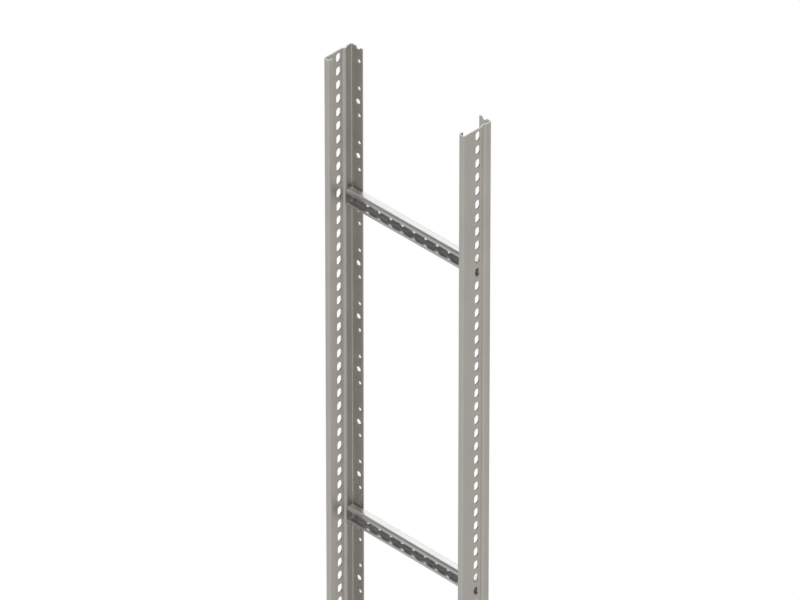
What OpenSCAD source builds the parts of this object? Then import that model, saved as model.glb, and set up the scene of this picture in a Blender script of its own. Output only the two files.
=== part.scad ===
// Cable ladder section: two perforated side rails joined by C-shaped rungs.
// It lies on its back flanges, with its length along X and the open side of
// the rails and rungs facing up. The origin is at the middle of the underside.

/* [Ladder] */
// Length of the side rails
ladder_len = 3000; // [1400:100:6000]
// Width over the outer faces of the rails
ladder_w = 300; // [200:50:600]
// Distance between neighbouring rungs
rung_spacing = 600; // [300:50:600]
// Distance from the head end of the rails to the middle of the first rung
first_rung = 275; // [100:25:300]

/* [Side rail] */
// Height of the rail from its back face to its lip
rail_h = 60; // [56:1:100]
// Thickness of the rail's sheet
rail_t = 2; // [1.5:0.25:2.5]
// Radius inside the rail's bends
rail_bend_r = 1.5; // [1:0.25:2]
// Width of the back flange that the rungs sit on
flange_w = 25; // [25:1:40]
// Width of the lip along the open side
lip_w = 11.5; // [11:0.5:15]
// Depth of the lip's turned-in edge
lip_return = 8; // [6:0.5:10]

/* [Stiffening bead] */
// Width of the bead pressed into the web
bead_w = 12; // [10:0.5:14]
// Depth of the bead
bead_d = 2.8; // [1:0.2:4]
// Height of the bead's crest above the back face
bead_z = 16; // [13:0.5:17]

/* [Rail perforation] */
// Distance between neighbouring slots in the web
slot_pitch = 25; // [20:1:50]
// Length of a web slot
slot_len = 16; // [12:0.5:18]
// Width of a web slot
slot_w = 9.5; // [7:0.5:11]
// Distance between neighbouring small holes in the flange
small_pitch = 50; // [25:5:100]
// Diameter of the small holes
small_d = 6.5; // [4:0.5:9]
// Distance of the small holes' row from the rail's outer face
small_in = 18; // [16:0.5:20]
// Distance between neighbouring large holes in the flange
large_pitch = 100; // [50:10:200]
// Diameter of the large holes
large_d = 9.5; // [8:0.5:12]
// Distance of the large holes' row from the rail's outer face
large_in = 15.5; // [12:0.5:18]

/* [Rung] */
// Width of the rung's rear wall
rung_w = 30; // [28:1:41]
// Depth of the rung
rung_d = 15; // [12:0.5:21]
// Thickness of the rung's sheet
rung_t = 2; // [1.5:0.25:2]
// Radius inside the rung's bends
rung_bend_r = 2; // [0.5:0.25:2]
// Width of the opening between the rung's lips
rung_open = 16; // [14:0.5:18]
// Gap between each end of a rung and the rail's bead
rung_end_gap = 0.3; // [0.2:0.1:1]
// Distance between neighbouring slots in the rung
rung_slot_pitch = 25; // [20:1:50]
// Length of a rung slot, across the rung
rung_slot_len = 17; // [10:0.5:18]
// Width of a rung slot
rung_slot_w = 7.5; // [5:0.5:9]

/* [Hidden] */
$fn = 48;
steel = "#a09d93";
rail_out_r = rail_bend_r + rail_t;
rung_out_r = rung_bend_r + rung_t;

// Three equal arcs make the bead: out of the web, over the crest and back.
bead_angle = 2 * atan(bead_d / (bead_w / 2));
bead_r = bead_w / 4 / sin(bead_angle);

// The slots keep to the middle of the rail's height.
slot_z = rail_h / 2;

rung_count = floor((ladder_len - first_rung - rung_w / 2) / rung_spacing) + 1;
rung_len = ladder_w - 2 * (rail_t + bead_d + rung_end_gap);
rung_lip = (rung_w - rung_open) / 2;

// How far a cutter reaches past the sheet on each side
cut_over = 1;

// A quarter bend of sheet t thick: its centre is the bend's centre, and it
// fills the quarter that lies between the directions from and from + 90.
module bend(r, t, from) {
    rotate(from) intersection() {
        difference() {
            circle(r + t);
            circle(r);
        }
        square(r + t);
    }
}

// A piece of ring with middle radius r, between two directions up to 120
// degrees apart.
module arc(r, t, from, to) {
    reach = 3 * r;
    intersection() {
        difference() {
            circle(r + t / 2);
            circle(r - t / 2);
        }
        polygon([
            [0, 0],
            reach * [cos(from), sin(from)],
            reach * [cos((from + to) / 2), sin((from + to) / 2)],
            reach * [cos(to), sin(to)]
        ]);
    }
}

// An oblong with round ends, lengthways along x
module oblong(len, w) {
    square([len - w, w], center = true);
    for (side = [-1, 1]) translate([side * (len - w) / 2, 0]) circle(w / 2);
}

// The bead's section: x runs inwards from the web's middle plane, y upwards.
module bead_section() {
    side = 2 * bead_r * sin(bead_angle);
    for (s = [-1, 1]) flip_up(s) {
        translate([bead_r, -side])
            arc(bead_r, rail_t, 180 - bead_angle, 180);
        translate([bead_d - bead_r, 0])
            arc(bead_r, rail_t, -bead_angle, 0);
    }
}

// Turns its children upside down for s = -1, and leaves them for s = 1.
module flip_up(s) {
    if (s < 0) mirror([0, 1]) children();
    else children();
}

// The rail's section: x runs inwards from its outer face, y up from its back.
module rail_section() {
    r = rail_out_r;
    bead_lo = bead_z - bead_w / 2;
    bead_hi = bead_z + bead_w / 2;
    translate([r, 0]) square([flange_w - r, rail_t]);
    translate([r, r]) bend(rail_bend_r, rail_t, 180);
    translate([0, r]) square([rail_t, bead_lo - r]);
    translate([rail_t / 2, bead_z]) bead_section();
    translate([0, bead_hi]) square([rail_t, rail_h - r - bead_hi]);
    translate([r, rail_h - r]) bend(rail_bend_r, rail_t, 90);
    translate([r, rail_h - rail_t]) square([lip_w - 2 * r, rail_t]);
    translate([lip_w - r, rail_h - r]) bend(rail_bend_r, rail_t, 0);
    translate([lip_w - rail_t, rail_h - lip_return])
        square([rail_t, lip_return - r]);
}

// Slots through the web, the first half a pitch from the head end
module web_slots() {
    for (x = [slot_pitch / 2 : slot_pitch : ladder_len - slot_pitch / 4])
        translate([ladder_len / 2 - x, -cut_over, slot_z])
            rotate([-90, 0, 0])
                linear_extrude(rail_t + 2 * cut_over) oblong(slot_len, slot_w);
}

// Small holes through the flange, the first half a pitch from the head end
module small_holes() {
    for (x = [small_pitch / 2 : small_pitch : ladder_len - small_pitch / 4])
        translate([ladder_len / 2 - x, small_in, -cut_over])
            cylinder(h = rail_t + 2 * cut_over, d = small_d);
}

// Large holes through the flange; the rail's ends cut one in half.
module large_holes() {
    for (x = [0 : large_pitch : ladder_len])
        translate([ladder_len / 2 - x, large_in, -cut_over])
            cylinder(h = rail_t + 2 * cut_over, d = large_d);
}

// One rail along X, with its outer face in the plane y = 0
module rail() {
    color(steel) difference() {
        translate([-ladder_len / 2, 0, 0])
            rotate([90, 0, 90]) linear_extrude(ladder_len) rail_section();
        web_slots();
        small_holes();
        large_holes();
    }
}

module rail_right() {
    translate([0, -ladder_w / 2, 0]) rail();
}

module rail_left() {
    mirror([0, 1, 0]) rail_right();
}

// Half of the rung's section: x runs from its middle, y up from its back.
module half_rung_section() {
    r = rung_out_r;
    square([rung_w / 2 - r, rung_t]);
    translate([rung_w / 2 - r, r]) bend(rung_bend_r, rung_t, 270);
    translate([rung_w / 2 - rung_t, r]) square([rung_t, rung_d - 2 * r]);
    translate([rung_w / 2 - r, rung_d - r]) bend(rung_bend_r, rung_t, 0);
    translate([rung_open / 2, rung_d - rung_t])
        square([rung_lip - r, rung_t]);
}

module rung_section() {
    half_rung_section();
    mirror([1, 0]) half_rung_section();
}

// A row of crosswise slots, spread evenly about the rung's middle
module rung_slots() {
    margin = rung_slot_pitch / 4;
    count = 2 * floor((rung_len / 2 - margin) / rung_slot_pitch + 0.5);
    for (i = [0 : count - 1])
        translate([0, (i - (count - 1) / 2) * rung_slot_pitch, -cut_over])
            linear_extrude(rung_t + 2 * cut_over)
                oblong(rung_slot_len, rung_slot_w);
}

// Rung number i, counted from the head end, standing on the flanges
module rung(i) {
    x = ladder_len / 2 - first_rung - (i - 1) * rung_spacing;
    color(steel) translate([x, 0, rail_t]) difference() {
        rotate([90, 0, 0])
            linear_extrude(rung_len, center = true) rung_section();
        rung_slots();
    }
}

rail_left();
rail_right();
for (i = [1 : rung_count])
    rung(i);
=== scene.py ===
import bpy
import numpy as np
from mathutils import Matrix, Vector


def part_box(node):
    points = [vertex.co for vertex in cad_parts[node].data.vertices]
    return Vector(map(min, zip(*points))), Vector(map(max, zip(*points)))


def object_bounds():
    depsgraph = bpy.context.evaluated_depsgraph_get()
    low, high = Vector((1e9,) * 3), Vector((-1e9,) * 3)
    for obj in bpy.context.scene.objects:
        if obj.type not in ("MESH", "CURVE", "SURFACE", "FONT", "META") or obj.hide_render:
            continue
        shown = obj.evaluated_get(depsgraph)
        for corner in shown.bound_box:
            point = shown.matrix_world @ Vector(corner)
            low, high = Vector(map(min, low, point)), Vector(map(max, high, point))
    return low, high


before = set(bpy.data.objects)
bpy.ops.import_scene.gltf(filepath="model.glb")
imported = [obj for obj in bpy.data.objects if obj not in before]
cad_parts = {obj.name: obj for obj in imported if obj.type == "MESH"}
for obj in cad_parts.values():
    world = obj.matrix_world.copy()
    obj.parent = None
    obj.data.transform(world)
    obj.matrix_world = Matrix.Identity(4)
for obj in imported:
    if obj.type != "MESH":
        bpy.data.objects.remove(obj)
cadLow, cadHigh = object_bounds()
print("frame loaded:", len(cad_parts), "nodes")

# Cable ladder section, lying on its back flanges: the rails run along X with
# their head end at +X, and the open side of the rails and rungs faces up.
# Lengths are in metres.


def newMaterial(name):
    material = bpy.data.materials.new(name)
    material.use_nodes = True
    tree = material.node_tree
    tree.nodes.clear()
    return material, tree


def addNode(tree, kind, inputs=None, **settings):
    # A shader node with its settings, and its sockets by name or number: a
    # value that is itself a socket is linked, any other is written in.
    node = tree.nodes.new(kind)
    for name, value in settings.items():
        setattr(node, name, value)
    for name, value in (inputs or {}).items():
        if isinstance(value, bpy.types.NodeSocket):
            tree.links.new(value, node.inputs[name])
        else:
            node.inputs[name].default_value = value
    return node


def mixColours(tree, factor, low, high, blend="MIX"):
    # A Mix node takes colours at sockets 6 and 7 and gives one at 2.
    node = addNode(tree, "ShaderNodeMix", {0: factor, 6: low, 7: high},
                   data_type="RGBA", blend_type=blend)
    return node.outputs[2]


def mixNumbers(tree, factor, low, high):
    # A Mix node takes numbers at sockets 2 and 3 and gives one at 0.
    node = addNode(tree, "ShaderNodeMix", {0: factor, 2: low, 3: high})
    return node.outputs[0]


def mixShaders(tree, factor, low, high):
    node = addNode(tree, "ShaderNodeMixShader", {0: factor, 1: low, 2: high})
    return node.outputs[0]


def spread(tree, value, span, target=(0.0, 1.0), **settings):
    # The value, with its span drawn out over the target and held at its ends
    ends = {1: span[0], 2: span[1], 3: target[0], 4: target[1]}
    node = addNode(tree, "ShaderNodeMapRange", {0: value, **ends}, **settings)
    return node.outputs[0]


def calculate(tree, operation, *values):
    node = addNode(tree, "ShaderNodeMath", dict(enumerate(values)),
                   operation=operation)
    return node.outputs[0]


def sizeAlong(tree, vector, axis):
    # The size of a vector's part along one axis, whichever way it points
    part = addNode(tree, "ShaderNodeSeparateXYZ", {0: vector}).outputs[axis]
    return calculate(tree, "ABSOLUTE", part)


def noise(tree, vector, scale, fineness):
    detail, roughness = fineness
    node = addNode(tree, "ShaderNodeTexNoise", {
        "Vector": vector,
        "Scale": scale,
        "Detail": detail,
        "Roughness": roughness,
    })
    return node.outputs[0]


# The steel of the rails and rungs
endSkin = 0.0002  # what lies this close to a piece's end is its end face

railSteel = {
    "name": "railSteel",
    "bright": (0.535, 0.521, 0.493, 1),  # brighter patches of the zinc
    "dull": (0.505, 0.493, 0.466, 1),  # duller patches
    "patches": 14.0,  # dull and bright patches per metre
    "patchFineness": (4.0, 0.55),  # octaves of their noise, and its roughness
    "patchSpan": (0.35, 0.65),  # noise that is fully dull and fully bright
    "metallic": 0.97,  # the rest scatters light, as dull zinc does
    "roughness": (0.40, 0.46),
    "rolledAlong": 0,  # the axis that the section is rolled along
    "grain": 900.0,  # rolling lines per metre, across the rolling direction
    "grainStretch": 0.02,  # the lines' width over their length
    "grainFineness": (3.0, 0.6),
    "grainSpan": (0.3, 0.7),  # noise that gives the lower and upper roughness
    "grainHeight": 0.00001,
    "grainStrength": 0.5,  # how much of that height shows
    "cut": (0.30, 0.29, 0.27, 1),  # the torn, dull edges where it was sheared
    "cutRoughness": 0.6,
    "cutSpan": (0.1, 0.2),  # the normal's part along the rolling direction
    "sawn": (0.52, 0.51, 0.49, 1),  # the clean cut at its two ends
    "sawnPast": cadHigh.x - endSkin,
}
rungSteel = {
    **railSteel,
    "name": "rungSteel",
    "bright": (0.515, 0.513, 0.502, 1),
    "dull": (0.486, 0.484, 0.474, 1),
    "metallic": 0.88,
    "roughness": (0.29, 0.37),
    "rolledAlong": 1,
    "sawnPast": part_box("rung_1")[1][1] - endSkin,
}


def sheetSteel(facts):
    # Zinc-coated sheet: soft dull and bright patches, and fine lines drawn out
    # along the rolling direction. Only cut faces look along that direction, so
    # they are found by the normal's part along it: edges that were sheared,
    # and the sawn ends.
    material, tree = newMaterial(facts["name"])
    place = addNode(tree, "ShaderNodeTexCoord").outputs
    axis = facts["rolledAlong"]

    stretch = [facts["grain"]] * 3
    stretch[axis] *= facts["grainStretch"]
    drawn = addNode(tree, "ShaderNodeMapping", {
        "Vector": place["Object"],
        "Scale": stretch,
    }).outputs[0]
    lines = noise(tree, drawn, 1.0, facts["grainFineness"])
    patches = noise(tree, place["Object"], facts["patches"],
                    facts["patchFineness"])

    brightness = spread(tree, patches, facts["patchSpan"])
    coated = mixColours(tree, brightness, facts["dull"], facts["bright"])
    isCut = spread(tree, sizeAlong(tree, place["Normal"], axis),
                   facts["cutSpan"])
    atEnd = calculate(tree, "GREATER_THAN",
                      sizeAlong(tree, place["Object"], axis),
                      facts["sawnPast"])
    cut = mixColours(tree, atEnd, facts["cut"], facts["sawn"])
    colour = mixColours(tree, isCut, coated, cut)

    rolled = spread(tree, lines, facts["grainSpan"], facts["roughness"])
    roughness = mixNumbers(tree, isCut, rolled, facts["cutRoughness"])
    bump = addNode(tree, "ShaderNodeBump", {
        "Strength": facts["grainStrength"],
        "Distance": facts["grainHeight"],
        "Height": lines,
    }).outputs[0]
    shader = addNode(tree, "ShaderNodeBsdfPrincipled", {
        "Base Color": colour,
        "Metallic": facts["metallic"],
        "Roughness": roughness,
        "Normal": bump,
    }).outputs[0]
    addNode(tree, "ShaderNodeOutputMaterial", {"Surface": shader})
    return material


railMaterial = sheetSteel(railSteel)
rungMaterial = sheetSteel(rungSteel)
for name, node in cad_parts.items():
    steel = railMaterial if name.startswith("rail_") else rungMaterial
    for slot in node.material_slots:
        slot.material = steel
print("steel ready")


# The studio: a floor, a room and one light
white = (1, 1, 1, 1)


def grey(level):
    return (level, level, level, 1)


def seenInSteel(tree, rays):
    # 1 for what is mirrored in steel or seen through something clear, else 0
    return calculate(tree, "MAXIMUM", rays["Is Glossy Ray"],
                     rays["Is Transmission Ray"])


studioFloor = {
    "reach": 40.0,
    "drop": 0.0005,  # just under the flanges, clear of them
    "paint": grey(0.96),
    "glow": 1.012,  # its own white, a trace over full white
    "shadowShare": 0.07,  # how much of its shade shows in that white
}


def makeFloor(facts):
    # A square floor that carries the ladder's shadow. Steel looks through it
    # at the white room, as it does at the room above.
    reach, height = facts["reach"], cadLow.z - facts["drop"]
    corners = [(reach * x, reach * y, height)
               for x, y in ((-1, -1), (1, -1), (1, 1), (-1, 1))]
    mesh = bpy.data.meshes.new("floor")
    mesh.from_pydata(corners, [], [(0, 1, 2, 3)])
    floor = bpy.data.objects.new("floor", mesh)
    bpy.context.collection.objects.link(floor)

    material, tree = newMaterial("floorPaint")
    rays = addNode(tree, "ShaderNodeLightPath").outputs
    paint = addNode(tree, "ShaderNodeBsdfDiffuse", {
        "Color": facts["paint"],
    }).outputs[0]
    glow = addNode(tree, "ShaderNodeEmission", {
        "Color": white,
        "Strength": facts["glow"],
    }).outputs[0]
    clear = addNode(tree, "ShaderNodeBsdfTransparent").outputs[0]
    glowShare = spread(tree, rays["Is Camera Ray"], (0.0, 1.0),
                       (0.0, 1.0 - facts["shadowShare"]))
    painted = mixShaders(tree, glowShare, paint, glow)
    shown = mixShaders(tree, seenInSteel(tree, rays), painted, clear)
    addNode(tree, "ShaderNodeOutputMaterial", {"Surface": shown})
    mesh.materials.append(material)


studioRoom = {
    "light": 0.7,  # what the floor and the dull zinc get from the room
    "inSteel": 0.69,  # the room's white as it shows in steel
    # What hangs in the room, seen only in steel: the way to its middle, the
    # cosines at its outer and inner edge, and how it colours the room's white.
    "hangings": {
        "softbox behind the head end": {
            "toward": (0.70, 0.0, -0.70),
            "edge": (0.62, 0.83),
            "tint": (3.50, 3.52, 3.57, 1),
        },
        "curtain beyond the head end": {
            "toward": (0.72, 0.58, 0.42),
            "edge": (0.42, 0.85),
            "tint": (0.41, 0.41, 0.41, 1),
        },
        "fill beside the camera": {
            "toward": (0.58, -0.58, 0.58),
            "edge": (0.62, 0.92),
            "tint": (2.90, 2.86, 2.78, 1),
        },
        "warm wall at the foot end": {
            "toward": (-0.58, -0.58, -0.58),
            "edge": (0.30, 0.90),
            "tint": (0.97, 0.955, 0.90, 1),
        },
        "window above the left rail": {
            "toward": (-0.58, 0.58, 0.58),
            "edge": (0.30, 0.90),
            "tint": (1.10, 1.09, 1.08, 1),
        },
    },
}


def makeRoom(facts):
    # White behind everything. Steel sees the same white room with things hung
    # in it: each fades in with the cosine between the direction looked in and
    # the direction of its middle.
    world = bpy.data.worlds.new("room")
    bpy.context.scene.world = world
    world.use_nodes = True
    tree = world.node_tree
    tree.nodes.clear()

    looking = addNode(tree, "ShaderNodeTexCoord").outputs["Generated"]
    sight = grey(facts["inSteel"])
    for hanging in facts["hangings"].values():
        middle = tuple(Vector(hanging["toward"]).normalized())
        nearness = addNode(tree, "ShaderNodeVectorMath",
                           {0: looking, 1: middle},
                           operation="DOT_PRODUCT").outputs["Value"]
        cover = spread(tree, nearness, hanging["edge"],
                       interpolation_type="SMOOTHSTEP")
        tint = mixColours(tree, cover, white, hanging["tint"])
        sight = mixColours(tree, 1.0, sight, tint, "MULTIPLY")

    rays = addNode(tree, "ShaderNodeLightPath").outputs
    plain = mixColours(tree, rays["Is Camera Ray"], grey(facts["light"]), white)
    shown = mixColours(tree, seenInSteel(tree, rays), plain, sight)
    light = addNode(tree, "ShaderNodeBackground", {
        "Color": shown,
        "Strength": 1.0,
    }).outputs[0]
    addNode(tree, "ShaderNodeOutputWorld", {"Surface": light})


studioKey = {
    "toward": (0.35, -0.25, 0.9),
    "strength": 1.2,
    "softness": 40.0,  # degrees across
}


def makeKey(facts):
    # A soft sun for the floor and the dull zinc. Steel doesn't mirror it.
    light = bpy.data.lights.new("key", "SUN")
    light.energy = facts["strength"]
    light.angle = np.radians(facts["softness"])
    key = bpy.data.objects.new("key", light)
    bpy.context.collection.objects.link(key)
    key.visible_glossy = False
    key.rotation_mode = "QUATERNION"
    key.rotation_quaternion = Vector(facts["toward"]).to_track_quat("Z", "Y")


makeFloor(studioFloor)
makeRoom(studioRoom)
makeKey(studioKey)
print("studio ready")


# The camera
camera = {
    "azimuth": 44.843,  # degrees round the ladder from its right rail's side
    "elevation": 35.292,
    "distance": 19.042,
    "lens": 559.65,
    "lookAt": (-0.4167, 0.0362, 0.0095),  # from the middle of the head end
    "farthest": 200.0,  # how far it sees
}


def makeCamera(facts):
    # Up is along the ladder, so it stands upright with its head end at the top.
    data = bpy.data.cameras.new("camera")
    data.lens = facts["lens"]
    data.clip_end = facts["farthest"]
    azimuth, elevation = np.radians((facts["azimuth"], facts["elevation"]))
    back = Vector((
        np.sin(azimuth) * np.cos(elevation),
        -np.cos(azimuth) * np.cos(elevation),
        np.sin(elevation),
    ))
    up = (Vector((1, 0, 0)) - back * back.x).normalized()
    right = up.cross(back)
    target = Vector((cadHigh.x, 0, 0)) + Vector(facts["lookAt"])
    body = bpy.data.objects.new("camera", data)
    body.matrix_world = Matrix((right, up, back)).transposed().to_4x4()
    body.location = target + back * facts["distance"]
    bpy.context.collection.objects.link(body)
    bpy.context.scene.camera = body


makeCamera(camera)
bpy.context.scene.view_settings.view_transform = "Standard"
print("camera ready")
